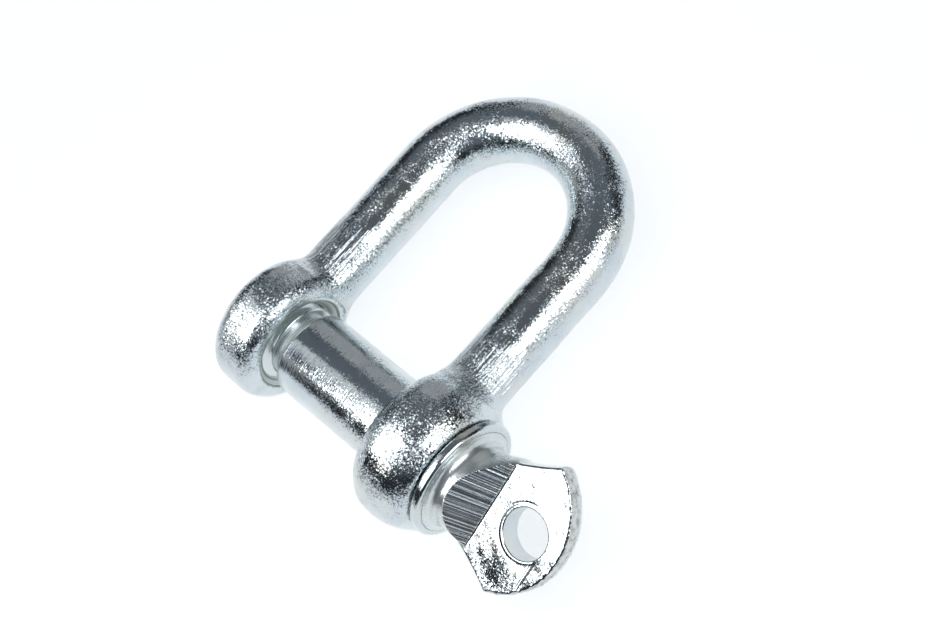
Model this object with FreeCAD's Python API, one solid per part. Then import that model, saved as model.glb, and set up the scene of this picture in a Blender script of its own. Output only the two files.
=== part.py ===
"""Screw-pin dee shackle: a forged bow with a plain and a threaded ear, and an eye screw pin.

Millimetres. +X runs along the pin towards its eye, +Y towards the crown, +Z out of the bow's plane.
The origin is on the pin's axis, midway between the ears. The pin is screwed home.
"""
import os
from math import acos, ceil, cos, pi, radians, sin, sqrt, tan

import FreeCAD
import Part
from FreeCAD import Placement, Rotation, Vector

PIN_D = 12.0                # shank of the screw pin
PITCH = 1.75                # coarse right-hand thread of the same diameter

# ---- bow: its ears are sized over the pin -------------------------------------------------------
BAR_D = 9.0                 # round bar
LEG_LENGTH = 29.4           # pin axis to the centre of the crown's bend
JAW = 20.0                  # clear width between the ears
EAR_WIDEST = 3.9            # an ear's widest ring to its inner face
LEG_INSET = 0.4             # a leg's centre line, towards the jaw from that ring
PLAIN_EAR_T = 9.8           # thickness along the pin
PLAIN_EAR_D = PIN_D + 9.6   # widest diameter of the plain ear
PLAIN_EAR_FACE_D = PIN_D + 5.2      # where its rounded edge meets its flat faces
PLAIN_EAR_BAND = 1.0        # length of its widest part
TAPPED_EAR_T = 7.8
TAPPED_EAR_D = PIN_D + 7.2
TAPPED_EAR_FACE_D = PIN_D + 3.0
TAPPED_EAR_BAND = 3.0
LEG_BLEND_R = 4.0           # blend from each leg into its ear
COUNTERSINK_D = PIN_D + 2.0         # mouth of the threaded ear, on the jaw side
COUNTERSINK_ANGLE = 90.0

# ---- screw pin ----------------------------------------------------------------------------------
SHANK_STANDOFF = 1.3        # end of the plain shank to the threaded ear's face
SHANK_CHAMFER = 0.8
RELIEF_LENGTH = 1.2         # undercut between shank and thread
RELIEF_DEPTH = 0.15         # below the thread's root
TIP_CHAMFER = 1.0
TIP_PROUD = 0.0             # how far the tip passes the threaded ear's outer face

COLLAR_D = PIN_D + 5.0
COLLAR_T = 1.4
COLLAR_EDGE_R = 0.45
NECK_D = PIN_D + 0.4        # round neck between the collar and the eye
NECK_FLARE_D = PIN_D + 3.0  # where the neck's fillet meets the collar

# lengths along the eye start at the collar's outer face
EYE_TURN = 30.0             # how far the eye stands turned out of the bow's plane, in degrees
EYE_SKEW = 4.5              # how far the forged eye leans in its own plane, in degrees
EYE_T = 3.4                 # thickness of the flattened eye
EYE_SHIFT = 1.05            # its middle stands this far off the pin's axis
EYE_WIDTH = 20.1            # over its two corners
EYE_CORNERS = 10.8
EYE_END = 17.2
EYE_WAIST = 3.3             # where its sides leave the neck
EYE_HOLLOW = 0.25           # how far its flared sides are hollowed
EYE_CORNER_R = 0.8
EYE_HOLE_D = 6.6
EYE_HOLE = 11.5
CHEEK_START = 2.1           # where the round neck starts to be flattened
CHEEK_END = 5.5             # where the flat of the eye begins

# ---- clearances ---------------------------------------------------------------------------------
HOLE_CLEAR = 0.3            # plain ear's hole round the shank, on the radius
THREAD_CLEAR = 0.1          # pin's thread inside the ear's, on the radius
COLLAR_SEAT = 0.03          # collar to the plain ear
COLLAR_CLEAR = 0.04         # collar to the pin inside it and to the neck beside it

# ---- places that follow -------------------------------------------------------------------------
BAR_R, PIN_R = BAR_D / 2, PIN_D / 2
JAW_X = JAW / 2                                     # the ears' inner faces
EAR_WIDEST_X = JAW_X + EAR_WIDEST
LEG_X = EAR_WIDEST_X - LEG_INSET                    # the legs' centre lines
PLAIN_OUT_X = JAW_X + PLAIN_EAR_T                   # the ears' outer faces
TAPPED_OUT_X = -JAW_X - TAPPED_EAR_T
COLLAR_X = PLAIN_OUT_X + COLLAR_SEAT
NECK_X = COLLAR_X + COLLAR_T + COLLAR_CLEAR         # the neck's end and the eye's datum
SHANK_END_X = SHANK_STANDOFF - JAW_X
THREAD_END_X = SHANK_END_X - RELIEF_LENGTH
TIP_X = TAPPED_OUT_X - TIP_PROUD
EYE_X = NECK_X + CHEEK_END                          # the eye leans about this point of the axis

# ---- thread form: 60 degree flanks, a flat of P/8 on the pin's crest and P/4 on the ear's --------
FLANK_GAIN = 2 * tan(radians(30))                   # groove width lost per unit of depth
SHARP_HEIGHT = PITCH / FLANK_GAIN
EAR_THREAD_DEPTH = SHARP_HEIGHT * 5 / 8
PIN_THREAD_DEPTH = SHARP_HEIGHT * 17 / 24
EAR_MINOR_R = PIN_R - EAR_THREAD_DEPTH
PIN_MAJOR_R = PIN_R - THREAD_CLEAR
PIN_ROOT_R = PIN_MAJOR_R - PIN_THREAD_DEPTH
OVERCUT = 0.2                                       # how far a cutter passes the face it opens
BLEND_SINK = 0.06                                   # a blend starts and ends this far inside the bow
THREAD_OVERCUT = PITCH / 16                         # less, so that a groove stays apart from itself


def turned(outline):
    """Solid turned about X from a list of edges that starts and ends on the axis."""
    first, last = outline[0].Vertexes[0].Point, outline[-1].Vertexes[-1].Point
    face = Part.Face(Part.Wire(outline + [Part.makeLine(last, first)]))
    return face.revolve(Vector(0, 0, 0), Vector(1, 0, 0), 360)


def lines(*points):
    """Edges through (x, y) points."""
    ends = [Vector(x, y, 0) for x, y in points]
    return [Part.makeLine(a, b) for a, b in zip(ends, ends[1:])]


def arc(start, middle, end):
    return Part.Arc(*(Vector(x, y, 0) for x, y in (start, middle, end))).toShape()


def cylinder(radius, x_from, x_to):
    return Part.makeCylinder(radius, x_to - x_from, Vector(x_from, 0, 0), Vector(1, 0, 0))


def cone(x_from, r_from, x_to, r_to):
    return Part.makeCone(r_from, r_to, x_to - x_from, Vector(x_from, 0, 0), Vector(1, 0, 0))


def thread_cutter(x_from, x_to, root, mouth, phase):
    """Right-hand helical cutter along X as a list of whole turns, the last of which ends at x_to
    and the first of which starts at or before x_from. root and mouth are its (radius, width) at
    the two ends of its flanks. phase is in pitches, and equal phases lie on one helix."""
    (root_r, root_w), (mouth_r, mouth_w) = root, mouth
    corners = [Vector(root_r, 0, -root_w / 2), Vector(mouth_r, 0, -mouth_w / 2),
               Vector(mouth_r, 0, mouth_w / 2), Vector(root_r, 0, root_w / 2)]
    profile = Part.makePolygon(corners + corners[:1])
    path = Part.Wire(Part.makeHelix(PITCH, PITCH, PIN_R).Edges)
    turn = path.makePipeShell([profile], True, True)
    start = Rotation(Vector(0, 0, 1), 360 * (x_to / PITCH - phase))
    along_x = Rotation(Vector(0, 1, 0), 90)
    turns = []
    for i in range(ceil((x_to - x_from) / PITCH)):
        one = turn.copy()
        one.Placement = Placement(Vector(x_to - (i + 1) * PITCH, 0, 0), along_x * start)
        turns.append(one)
    return turns


def rounded_edge(face_x, face_r, wide_x, wide_r):
    """Arc from a flat face's rim to the widest ring, which it meets without a corner."""
    run, rise = abs(wide_x - face_x), wide_r - face_r
    edge_r = (run ** 2 + rise ** 2) / (2 * rise)
    half_turn = acos((edge_r - rise) / edge_r) / 2
    away = edge_r * sin(half_turn) * (1 if face_x > wide_x else -1)
    ends = [(face_x, face_r), (wide_x + away, wide_r - edge_r * (1 - cos(half_turn))), (wide_x, wide_r)]
    return arc(*(ends if face_x < wide_x else ends[::-1]))


def ear(side, thickness, wide_d, face_d, band):
    """Round boss between its two flat faces, with a cylindrical band and rounded edges."""
    wide, face, out_x = wide_d / 2, face_d / 2, JAW_X + thickness
    a, b = EAR_WIDEST_X - band / 2, EAR_WIDEST_X + band / 2
    outline = (lines((JAW_X, 0), (JAW_X, face)) + [rounded_edge(JAW_X, face, a, wide)]
               + lines((a, wide), (b, wide)) + [rounded_edge(out_x, face, b, wide)]
               + lines((out_x, face), (out_x, 0)))
    boss = turned(outline)
    return boss if side > 0 else boss.mirror(Vector(0, 0, 0), Vector(1, 0, 0))


def leg_blend(side, wide_d):
    """Fillet that widens a leg, across the bow's plane, until it dips into the round of its ear."""
    wide = wide_d / 2 - BLEND_SINK
    centre_z = BAR_R + LEG_BLEND_R
    centre_y = sqrt((wide + LEG_BLEND_R) ** 2 - centre_z ** 2)
    meet_y = centre_y * wide / (wide + LEG_BLEND_R)
    inner_r = BAR_R - BLEND_SINK
    sections = [(centre_y, inner_r + BLEND_SINK / 2)]
    for share in (0.35, 0.6, 0.8, 1.0):
        y = centre_y + (meet_y - centre_y) * share
        sections.append((y, centre_z - sqrt(LEG_BLEND_R ** 2 - (centre_y - y) ** 2)))
    sections.append((meet_y / 2, sections[-1][1]))
    wires = []
    for y, half_z in sections:
        wire = Part.Wire(Part.Ellipse(Vector(0, 0, 0), half_z, inner_r).toShape())
        # an ellipse lies in XY with its long axis on X: stand it across the leg, long axis along Z
        wire.rotate(Vector(0, 0, 0), Vector(1, 0, 0), 90)
        wire.rotate(Vector(0, 0, 0), Vector(0, 1, 0), 90)
        wire.translate(Vector(side * LEG_X, y, 0))
        wires.append(wire)
    return Part.makeLoft(wires, True, True)


def bent_bar():
    """Two straight legs joined by a half-round crown, in one round bar."""
    foot, bend = Vector(LEG_X, 0, 0), Vector(LEG_X, LEG_LENGTH, 0)
    far_bend, far_foot = Vector(-LEG_X, LEG_LENGTH, 0), Vector(-LEG_X, 0, 0)
    top = Vector(0, LEG_LENGTH + LEG_X, 0)
    path = Part.Wire([Part.makeLine(foot, bend), Part.Arc(bend, top, far_bend).toShape(),
                      Part.makeLine(far_bend, far_foot)])
    section = Part.Wire(Part.makeCircle(BAR_R, foot, Vector(0, 1, 0)))
    return path.makePipeShell([section], True, True)


def make_bow():
    bow = bent_bar()
    for side, *size in ((1, PLAIN_EAR_T, PLAIN_EAR_D, PLAIN_EAR_FACE_D, PLAIN_EAR_BAND),
                        (-1, TAPPED_EAR_T, TAPPED_EAR_D, TAPPED_EAR_FACE_D, TAPPED_EAR_BAND)):
        bow = bow.fuse(ear(side, *size)).fuse(leg_blend(side, size[1]))
    # where the legs stand proud of the ears' flat faces, they are spotted flat round the pin
    bow = bow.cut(cylinder(PLAIN_EAR_FACE_D / 2, 0, JAW_X))
    bow = bow.cut(cylinder(TAPPED_EAR_FACE_D / 2, -JAW_X, 0))
    bow = bow.cut(cylinder(PLAIN_EAR_FACE_D / 2, PLAIN_OUT_X, PLAIN_OUT_X + BAR_D))
    bow = bow.cut(cylinder(TAPPED_EAR_FACE_D / 2, TAPPED_OUT_X - BAR_D, TAPPED_OUT_X))
    bow = bow.cut(cylinder(PIN_R + HOLE_CLEAR, 0, PLAIN_OUT_X + OVERCUT))
    bow = bow.cut(cylinder(EAR_MINOR_R, TAPPED_OUT_X - OVERCUT, 0))
    mouth_r = COUNTERSINK_D / 2
    depth = (mouth_r - EAR_MINOR_R) / tan(radians(COUNTERSINK_ANGLE / 2))
    bow = bow.cut(cone(-JAW_X - depth, EAR_MINOR_R, -JAW_X, mouth_r))
    inner_r = EAR_MINOR_R - THREAD_OVERCUT
    inner_w = PITCH * 3 / 4 + THREAD_OVERCUT * FLANK_GAIN
    return bow.cut(thread_cutter(TAPPED_OUT_X - PITCH, -JAW_X + PITCH, (inner_r, inner_w),
                                 (PIN_R, PITCH / 8), 0.0))


def make_collar():
    rim, inside = COLLAR_D / 2, PIN_R + COLLAR_CLEAR
    ring = cylinder(rim, COLLAR_X, COLLAR_X + COLLAR_T)
    ring = ring.makeFillet(COLLAR_EDGE_R, [e for e in ring.Edges if e.Curve.TypeId == "Part::GeomCircle"])
    return ring.cut(cylinder(inside, COLLAR_X - OVERCUT, COLLAR_X + COLLAR_T + OVERCUT))


def leant(shape):
    """The shape leant over in the eye's plane, as the eye is."""
    shape.rotate(Vector(EYE_X, 0, 0), Vector(0, 0, 1), -EYE_SKEW)
    return shape


def pin_shaft():
    """Thread blank, undercut, shank, and the neck with its fillet, up to the flat of the eye."""
    tip_r, relief_r = PIN_MAJOR_R - TIP_CHAMFER, PIN_ROOT_R - RELIEF_DEPTH
    neck_r, flare_r = NECK_D / 2, (NECK_FLARE_D - NECK_D) / 2
    flare_x, rod_end = NECK_X + flare_r, EYE_X
    hollow = flare_r * (1 - sin(pi / 4))
    outline = (lines((TIP_X, 0), (TIP_X, tip_r), (TIP_X + TIP_CHAMFER, PIN_MAJOR_R),
                     (THREAD_END_X, PIN_MAJOR_R), (THREAD_END_X, relief_r),
                     (SHANK_END_X, relief_r), (SHANK_END_X, PIN_R - SHANK_CHAMFER),
                     (SHANK_END_X + SHANK_CHAMFER, PIN_R), (NECK_X, PIN_R),
                     (NECK_X, NECK_FLARE_D / 2))
               + [arc((NECK_X, NECK_FLARE_D / 2), (NECK_X + hollow, neck_r + hollow),
                      (flare_x, neck_r))]
               + lines((flare_x, neck_r), (rod_end, neck_r), (rod_end, 0)))
    shaft = turned(outline)
    slope = (neck_r - EYE_T / 2) / (CHEEK_END - CHEEK_START)
    far = neck_r + NECK_FLARE_D
    start = NECK_X + CHEEK_START - (far - neck_r) / slope
    for side in (1, -1):
        wedge = Part.makePolygon([Vector(start, 0, side * far),
                                  Vector(rod_end, 0, side * EYE_T / 2),
                                  Vector(rod_end + 1, 0, side * EYE_T / 2),
                                  Vector(rod_end + 1, 0, side * far), Vector(start, 0, side * far)])
        cheek = Part.Face(wedge).extrude(Vector(0, 2 * far, 0))
        cheek.translate(Vector(0, -far, 0))
        shaft = shaft.cut(leant(cheek))
    return shaft


def eye():
    """Flattened blade, flared to two corners, with a round end and a hole."""
    corner_x, waist_x, end_x = NECK_X + EYE_CORNERS, NECK_X + EYE_WAIST, NECK_X + EYE_END
    half, waist = EYE_WIDTH / 2, NECK_D / 2
    side_x, side_w = (corner_x + waist_x) / 2, (half + waist) / 2 - EYE_HOLLOW
    low, high = EYE_SHIFT - half, EYE_SHIFT + half
    outline = [arc((waist_x, waist), (side_x, EYE_SHIFT / 2 + side_w), (corner_x, high)),
               arc((corner_x, high), (end_x, EYE_SHIFT), (corner_x, low)),
               arc((corner_x, low), (side_x, EYE_SHIFT / 2 - side_w), (waist_x, -waist)),
               *lines((waist_x, -waist), (waist_x, waist))]
    blade = Part.Face(Part.Wire(outline)).extrude(Vector(0, 0, EYE_T))
    blade.translate(Vector(0, 0, -EYE_T / 2))
    corners = [e for e in blade.Edges if abs(e.BoundBox.ZLength - EYE_T) < 1e-3
               and abs(e.BoundBox.XMin - corner_x) < 1e-3]
    blade = blade.makeFillet(EYE_CORNER_R, corners)
    hole = Part.makeCylinder(EYE_HOLE_D / 2, 2 * EYE_T, Vector(NECK_X + EYE_HOLE, EYE_SHIFT, -EYE_T))
    return leant(blade), leant(hole)


def make_pin():
    blade, hole = eye()
    pin = pin_shaft().fuse(blade).cut(hole)
    pin.rotate(Vector(0, 0, 0), Vector(1, 0, 0), EYE_TURN)
    run_in = PITCH / 6                                  # the groove ends inside the undercut
    mouth_r = PIN_MAJOR_R + THREAD_OVERCUT
    mouth_w = PITCH * 7 / 8 + THREAD_OVERCUT * FLANK_GAIN
    root_w = mouth_w - (mouth_r - PIN_ROOT_R) * FLANK_GAIN
    return pin.cut(thread_cutter(TIP_X - PITCH, THREAD_END_X + run_in, (PIN_ROOT_R, root_w),
                                 (mouth_r, mouth_w), 0.5))


def main():
    os.makedirs("parts", exist_ok=True)
    for node, shape in (("bow", make_bow()), ("pin_collar", make_collar()), ("screw_pin", make_pin())):
        solids = shape.Solids
        print(node, "solids", len(solids), "valid", shape.isValid(), "mm3", round(shape.Volume, 1))
        solids[0].exportStep(f"parts/{node}.step")


if __name__ == "__main__":
    main()
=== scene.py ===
"""Dee shackle with a screw pin, in bright zinc plate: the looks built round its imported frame.

Run as a script. It is laid out as an add-on, with one operator per piece, and is never installed.
Meshes are made in millimetres and scaled to metres at the end.
"""

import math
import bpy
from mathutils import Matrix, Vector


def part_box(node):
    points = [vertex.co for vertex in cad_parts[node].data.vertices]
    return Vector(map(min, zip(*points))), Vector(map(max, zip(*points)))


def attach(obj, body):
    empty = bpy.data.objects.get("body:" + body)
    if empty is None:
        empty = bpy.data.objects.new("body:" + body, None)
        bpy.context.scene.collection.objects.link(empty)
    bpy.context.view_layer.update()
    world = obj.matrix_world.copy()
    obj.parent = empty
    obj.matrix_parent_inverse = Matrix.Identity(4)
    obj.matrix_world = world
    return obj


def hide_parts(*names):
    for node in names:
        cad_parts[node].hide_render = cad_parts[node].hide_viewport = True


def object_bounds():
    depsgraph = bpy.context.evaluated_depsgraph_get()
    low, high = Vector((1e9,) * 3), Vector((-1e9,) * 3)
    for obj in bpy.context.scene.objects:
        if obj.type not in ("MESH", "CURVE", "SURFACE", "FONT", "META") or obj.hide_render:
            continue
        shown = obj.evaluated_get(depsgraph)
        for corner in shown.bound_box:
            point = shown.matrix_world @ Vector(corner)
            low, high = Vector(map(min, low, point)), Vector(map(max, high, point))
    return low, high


bl_info = {
    "name": "Dee shackle",
    "version": (1, 0, 0),
    "blender": (4, 5, 0),
    "location": "3D View > Sidebar > Dee shackle",
    "description": "Builds a forged bow and its eye screw pin, zinc plated, round a packed frame",
    "category": "Add Mesh",
}

import bmesh
import bpy
import numpy as np
from bpy.props import FloatProperty, PointerProperty, StringProperty
from mathutils import Matrix, Vector

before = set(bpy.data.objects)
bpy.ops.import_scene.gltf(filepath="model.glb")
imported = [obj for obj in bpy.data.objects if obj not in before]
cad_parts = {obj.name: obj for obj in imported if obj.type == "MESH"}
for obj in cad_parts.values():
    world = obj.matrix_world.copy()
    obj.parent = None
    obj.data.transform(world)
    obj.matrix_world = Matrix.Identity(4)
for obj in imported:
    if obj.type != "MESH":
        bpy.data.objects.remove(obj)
CAD_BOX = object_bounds()
MM = 0.001


def in_mm(node):
    """A node's lowest and highest corners, in millimetres."""
    low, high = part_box(node)
    return np.array(low) / MM, np.array(high) / MM


BOW_LOW, BOW_HIGH = in_mm("bow")
PIN_LOW = in_mm("screw_pin")[0]
COLLAR_LOW, COLLAR_HIGH = in_mm("pin_collar")


# ---- sizes and colours that a user would change ------------------------------------------------

def length(name, description, default):
    """A length property, given in millimetres."""
    return FloatProperty(name=name, description=description, default=default * MM,
                         subtype="DISTANCE", unit="LENGTH", precision=5)


def hex_colour(name, description, default):
    """A colour property, given as an sRGB hex value."""
    return StringProperty(name=name, description=description, default=default, maxlen=7)


class ShackleSizes(bpy.types.PropertyGroup):
    bar_d: length("Bar", "Diameter of the forged bar", 9.0)
    jaw: length("Jaw", "Clear width between the ears", 20.0)
    widest: length("Widest ring", "From an ear's inner face to its widest ring", 3.9)
    plain_face_d: length("Plain ear face", "Diameter of the plain ear's flat faces", 17.2)
    plain_band: length("Plain ear band", "Length of the plain ear's widest part", 1.0)
    tapped_t: length("Tapped ear", "Thickness of the threaded ear along the pin", 7.8)
    tapped_d: length("Tapped ear width", "Widest diameter of the threaded ear", 19.2)
    tapped_face_d: length("Tapped ear face", "Diameter of the threaded ear's flat faces", 15.0)
    tapped_band: length("Tapped ear band", "Length of the threaded ear's widest part", 3.0)
    leg_blend: length("Leg blend", "Radius of the fillet from a leg into its ear", 4.0)
    soften: length("Softening", "How far the forging's inner corners are rounded", 0.9)
    hammering: length("Forging waves", "Depth of the slow waves left by the dies", 0.05)
    countersink_d: length("Countersink", "Mouth of the threaded ear", 14.0)
    shank_d: length("Shank", "Diameter of the pin's plain shank", 12.0)
    pitch: length("Pitch", "Distance between turns of the thread", 1.75)
    hole_gap: length("Hole gap", "Plain ear's hole round the shank, on the radius", 0.3)
    thread_gap: length("Thread gap", "Pin's thread inside the ear's, on the radius", 0.1)
    neck_d: length("Neck", "Diameter of the neck between collar and eye", 12.4)
    flare_d: length("Neck flare", "Where the neck's fillet meets the collar", 15.0)
    blade_t: length("Eye thickness", "Thickness of the flattened eye", 3.4)
    hole_d: length("Eye hole", "Diameter of the hole through the eye", 6.6)


class ShackleColours(bpy.types.PropertyGroup):
    zinc: hex_colour("Zinc", "Bright zinc plate", "#D4DADB")
    zinc_cool: hex_colour("Cool zinc", "Where the clear passivate turns the plate blue", "#BDC9D0")
    zinc_warm: hex_colour("Warm zinc", "Where the clear passivate turns the plate straw", "#DAD5C5")
    zinc_cut: hex_colour("Cut zinc", "Milky plate over surfaces cut by a tool", "#EDF4F1")
    # painted shade: this dark colour is painted into the grain's deepest pits, the press marks'
    # troughs and the tool rings, and it also gives a torn edge its dull patches
    scale: hex_colour("Die scale", "Dark residue in pits and press marks", "#434B54")
    sheared: hex_colour("Sheared edge", "Plate over the torn edge of the trimmed eye", "#D6D9D6")
    floor: hex_colour("Floor", "Plain pale floor", "#F4F5F6")


# ---- small helpers -----------------------------------------------------------------------------

def linear(colour):
    """Scene-linear RGBA from an sRGB hex value."""
    parts = [int(colour[i:i + 2], 16) / 255 for i in (1, 3, 5)]
    return [c / 12.92 if c <= 0.04045 else ((c + 0.055) / 1.055) ** 2.4 for c in parts] + [1.0]


def add_node(tree, kind, settings=None, **links):
    """Adds a shader node. settings holds its properties and input values. links maps an input's
    name, with _ for a space, or _0, _1 ... for its number, to the output that feeds it."""
    node = tree.nodes.new("ShaderNode" + kind)
    for key, value in (settings or {}).items():
        if isinstance(key, int) or key in node.inputs:
            node.inputs[key].default_value = value
        else:
            setattr(node, key, value)
    for key, source in links.items():
        name = key.replace("_", " ").strip()
        tree.links.new(source, node.inputs[int(name) if name.isdigit() else name])
    return node


def mesh_object(name, verts, faces):
    """An object from points in millimetres."""
    mesh = bpy.data.meshes.new(name)
    mesh.from_pydata([tuple(v) for v in np.asarray(verts) * MM], [], [tuple(f) for f in faces])
    mesh.update()
    obj = bpy.data.objects.new(name, mesh)
    bpy.context.scene.collection.objects.link(obj)
    return obj


def combine(obj, tool, operation):
    """Joins, cuts or intersects obj with tool, and removes tool."""
    modifier = obj.modifiers.new("combine", "BOOLEAN")
    modifier.operation, modifier.object, modifier.solver = operation, tool, "MANIFOLD"
    bpy.context.view_layer.update()
    evaluated = obj.evaluated_get(bpy.context.evaluated_depsgraph_get())
    result = bpy.data.meshes.new_from_object(evaluated)
    obj.modifiers.clear()
    if not len(result.polygons):
        raise RuntimeError(f"{operation} of {obj.name} with {tool.name} left nothing")
    obj.data = result
    bpy.data.objects.remove(tool)
    return obj


def turned(name, profile, steps=144):
    """A solid turned about X from (x, radius) points that start and end on the axis."""
    ring = profile[1:-1]
    turn = np.arange(steps) / steps * 2 * math.pi
    verts = [(x, r * math.sin(a), -r * math.cos(a)) for x, r in ring for a in turn]
    faces = []
    for i in range(len(ring) - 1):
        for j in range(steps):
            a, b = i * steps + j, i * steps + (j + 1) % steps
            faces.append((a, b, b + steps, a + steps))
    # a fan closes each end, round a point on the axis
    first, last = len(verts), len(verts) + 1
    verts += [(profile[0][0], 0, 0), (profile[-1][0], 0, 0)]
    end = (len(ring) - 1) * steps
    for j in range(steps):
        k = (j + 1) % steps
        faces.append((first, k, j))
        faces.append((last, end + j, end + k))
    obj = mesh_object(name, verts, faces)
    outward(obj)
    return obj


def outward(obj):
    """Turns the faces of a closed mesh outwards."""
    work = bmesh.new()
    work.from_mesh(obj.data)
    bmesh.ops.recalc_face_normals(work, faces=work.faces)
    if work.calc_volume(signed=True) < 0:
        bmesh.ops.reverse_faces(work, faces=work.faces)
    work.to_mesh(obj.data)
    work.free()


def screw(name, x_from, x_to, pitch, crest_r, root_r, steps=96, knots=16):
    """A right-hand 60 degree thread as a solid rod along X, its crest centred on x = 0 at -Z.
    A turn has that many steps round it and that many knots across its profile."""
    flat = pitch / 16
    half = np.minimum(np.arange(knots), knots - np.arange(knots)) / knots * pitch
    radius = np.clip(crest_r - (half - flat) * math.sqrt(3), root_r, crest_r)
    first = math.floor(x_from / pitch) * knots
    rows = math.ceil(x_to / pitch) * knots - first
    verts = []
    for i in range(first, first + rows + 1):
        for j in range(steps):
            a, r = j / steps * 2 * math.pi, radius[i % knots]
            verts.append((pitch * (j / steps + i / knots), r * math.sin(a), -r * math.cos(a)))

    def at(row, column):
        """The point at a row and column. A full turn leads into the row one pitch further on."""
        return (row + knots) * steps if column == steps else row * steps + column

    faces = []
    for i in range(rows - knots):
        for j in range(steps):
            faces.append((at(i, j), at(i, j + 1), at(i + 1, j + 1), at(i + 1, j)))
    # a fan closes each end, out along the turn and back down its profile
    for row in (0, rows - knots):
        loop = [at(row, j) for j in range(steps)]
        loop += [r * steps for r in range(row + knots, row, -1)]
        hub = len(verts)
        verts.append((verts[loop[0]][0] + pitch / 2, 0, 0))
        faces += [(hub, a, b) for a, b in zip(loop, loop[1:] + loop[:1])]
    obj = mesh_object(name, verts, faces)
    # the last turn's spare points have no faces
    work = bmesh.new()
    work.from_mesh(obj.data)
    bmesh.ops.delete(work, geom=[v for v in work.verts if not v.link_faces], context="VERTS")
    work.to_mesh(obj.data)
    work.free()
    outward(obj)
    return obj


def arc_points(x, y, radius, start, end, count):
    """(x, y) points along an arc, angles in degrees."""
    turn = np.radians(np.linspace(start, end, count))
    return [(x + radius * math.cos(a), y + radius * math.sin(a)) for a in turn]


def waves(seed, shortest, longest, count=14):
    """A slow random height, about -1 to 1, as a sum of sine waves of those lengths."""
    rng = np.random.default_rng(seed)
    ways = rng.normal(size=(count, 3))
    ways /= np.linalg.norm(ways, axis=1)[:, None]
    ways *= 2 * math.pi / rng.uniform(shortest, longest, count)[:, None]
    phases = rng.uniform(0, 2 * math.pi, count)

    def height(x, y, z):
        return sum(np.sin(a * x + b * y + c * z + p) for (a, b, c), p in zip(ways, phases)) \
            / math.sqrt(count * 2)

    return height


def soft_join(a, b, reach):
    """Two shapes' distances joined, with the corner between them filled over that reach."""
    share = np.clip(0.5 + (b - a) / (2 * reach), 0, 1)
    return b + (a - b) * share - reach * share * (1 - share)


def soft_meet(a, b, reach):
    """What two shapes share, with the edge where they meet rounded over that reach."""
    return -soft_join(-a, -b, reach)


def smooth_step(value, low, high):
    """0 below low, 1 above high, and an easy slope between."""
    t = np.clip((value - low) / (high - low), 0, 1)
    return t * t * (3 - 2 * t)


def skin(field, low, high, cell):
    """The zero surface of field(x, y, z), negative inside, as points and outward quads: one point
    in each cell that the surface crosses, moved onto the surface afterwards."""
    rounds, step, flattest, furthest = 3, 0.02, 0.05, 0.4 * cell
    axes = [np.arange(a, b + cell, cell) for a, b in zip(low, high)]
    value = field(axes[0][:, None, None], axes[1][None, :, None], axes[2][None, None, :])
    shape = np.array(value.shape)
    inside = value < 0
    strides = np.array([shape[1] * shape[2], shape[2], 1])
    total, count = np.zeros((shape.prod(), 3)), np.zeros(shape.prod())
    quads = []
    # every grid edge that the surface crosses gives one quad, between the four cells round it
    for axis in range(3):
        near = [slice(None)] * 3
        far = [slice(None)] * 3
        near[axis], far[axis] = slice(0, -1), slice(1, None)
        a, b = value[tuple(near)], value[tuple(far)]
        cross = np.argwhere(inside[tuple(near)] != inside[tuple(far)])
        at = tuple(cross.T)
        where = cross.astype(float)
        where[:, axis] += a[at] / (a[at] - b[at])
        second, third = (axis + 1) % 3, (axis + 2) % 3
        ids = []
        for back_2, back_3 in ((1, 1), (0, 1), (0, 0), (1, 0)):
            cells = cross.copy()
            cells[:, second] -= back_2
            cells[:, third] -= back_3
            flat = cells @ strides
            ids.append(flat)
            for k in range(3):
                total[:, k] += np.bincount(flat, where[:, k], len(total))
            count += np.bincount(flat, minlength=len(count))
        ids = np.array(ids).T
        flip = a[at] >= 0
        ids[flip] = ids[flip][:, ::-1]
        quads.append(ids)
    used = np.flatnonzero(count)
    new = np.full(len(count), -1)
    new[used] = np.arange(len(used))
    points = total[used] / count[used][:, None] * cell + np.array([a[0] for a in axes])
    for _ in range(rounds):
        here = field(*points.T)
        slope = np.stack([(field(*(points + step * e).T) - field(*(points - step * e).T))
                          / (2 * step) for e in np.eye(3)], 1)
        move = -here[:, None] * slope / np.maximum((slope ** 2).sum(1), flattest)[:, None]
        far = np.linalg.norm(move, axis=1, keepdims=True)
        points += move * np.minimum(1, furthest / np.maximum(far, 1e-9))
    return points, new[np.concatenate(quads)]


def set_mask(obj, name, values):
    """A share from 0 to 1 at each vertex, for the material to read."""
    attribute = obj.data.attributes.new(name, "FLOAT", "POINT")
    attribute.data.foreach_set("value", np.asarray(values, np.float32))


def points_of(obj):
    """Vertices in millimetres, as three arrays."""
    flat = np.zeros(len(obj.data.vertices) * 3, np.float32)
    obj.data.vertices.foreach_get("co", flat)
    return (flat.reshape(-1, 3).astype(float) / MM).T


def finish_piece(obj, material, body, nodes, sharp=38):
    """Gives a piece its material and its place in the frame. Edges past that angle stay sharp."""
    obj.data.materials.clear()
    obj.data.materials.append(material)
    obj.data.shade_smooth()
    obj.data.set_sharp_from_angle(angle=math.radians(sharp))
    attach(obj, body)
    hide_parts(*nodes)


# ---- finishes ----------------------------------------------------------------------------------

def zinc_on_forged_steel(colours):
    """Bright zinc electroplated on shot-blasted, drop-forged steel and clear passivated. The plate
    copies the blasted grain, so the eye sees a mirror broken into pale and dark specks."""
    material = bpy.data.materials.new("zinc_plate_on_forged_steel")
    return zinc_plate(material, colours, grain=0.24, slope=1.0, facets=2.8,
                      roughness=(0.07, 0.15))


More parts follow.
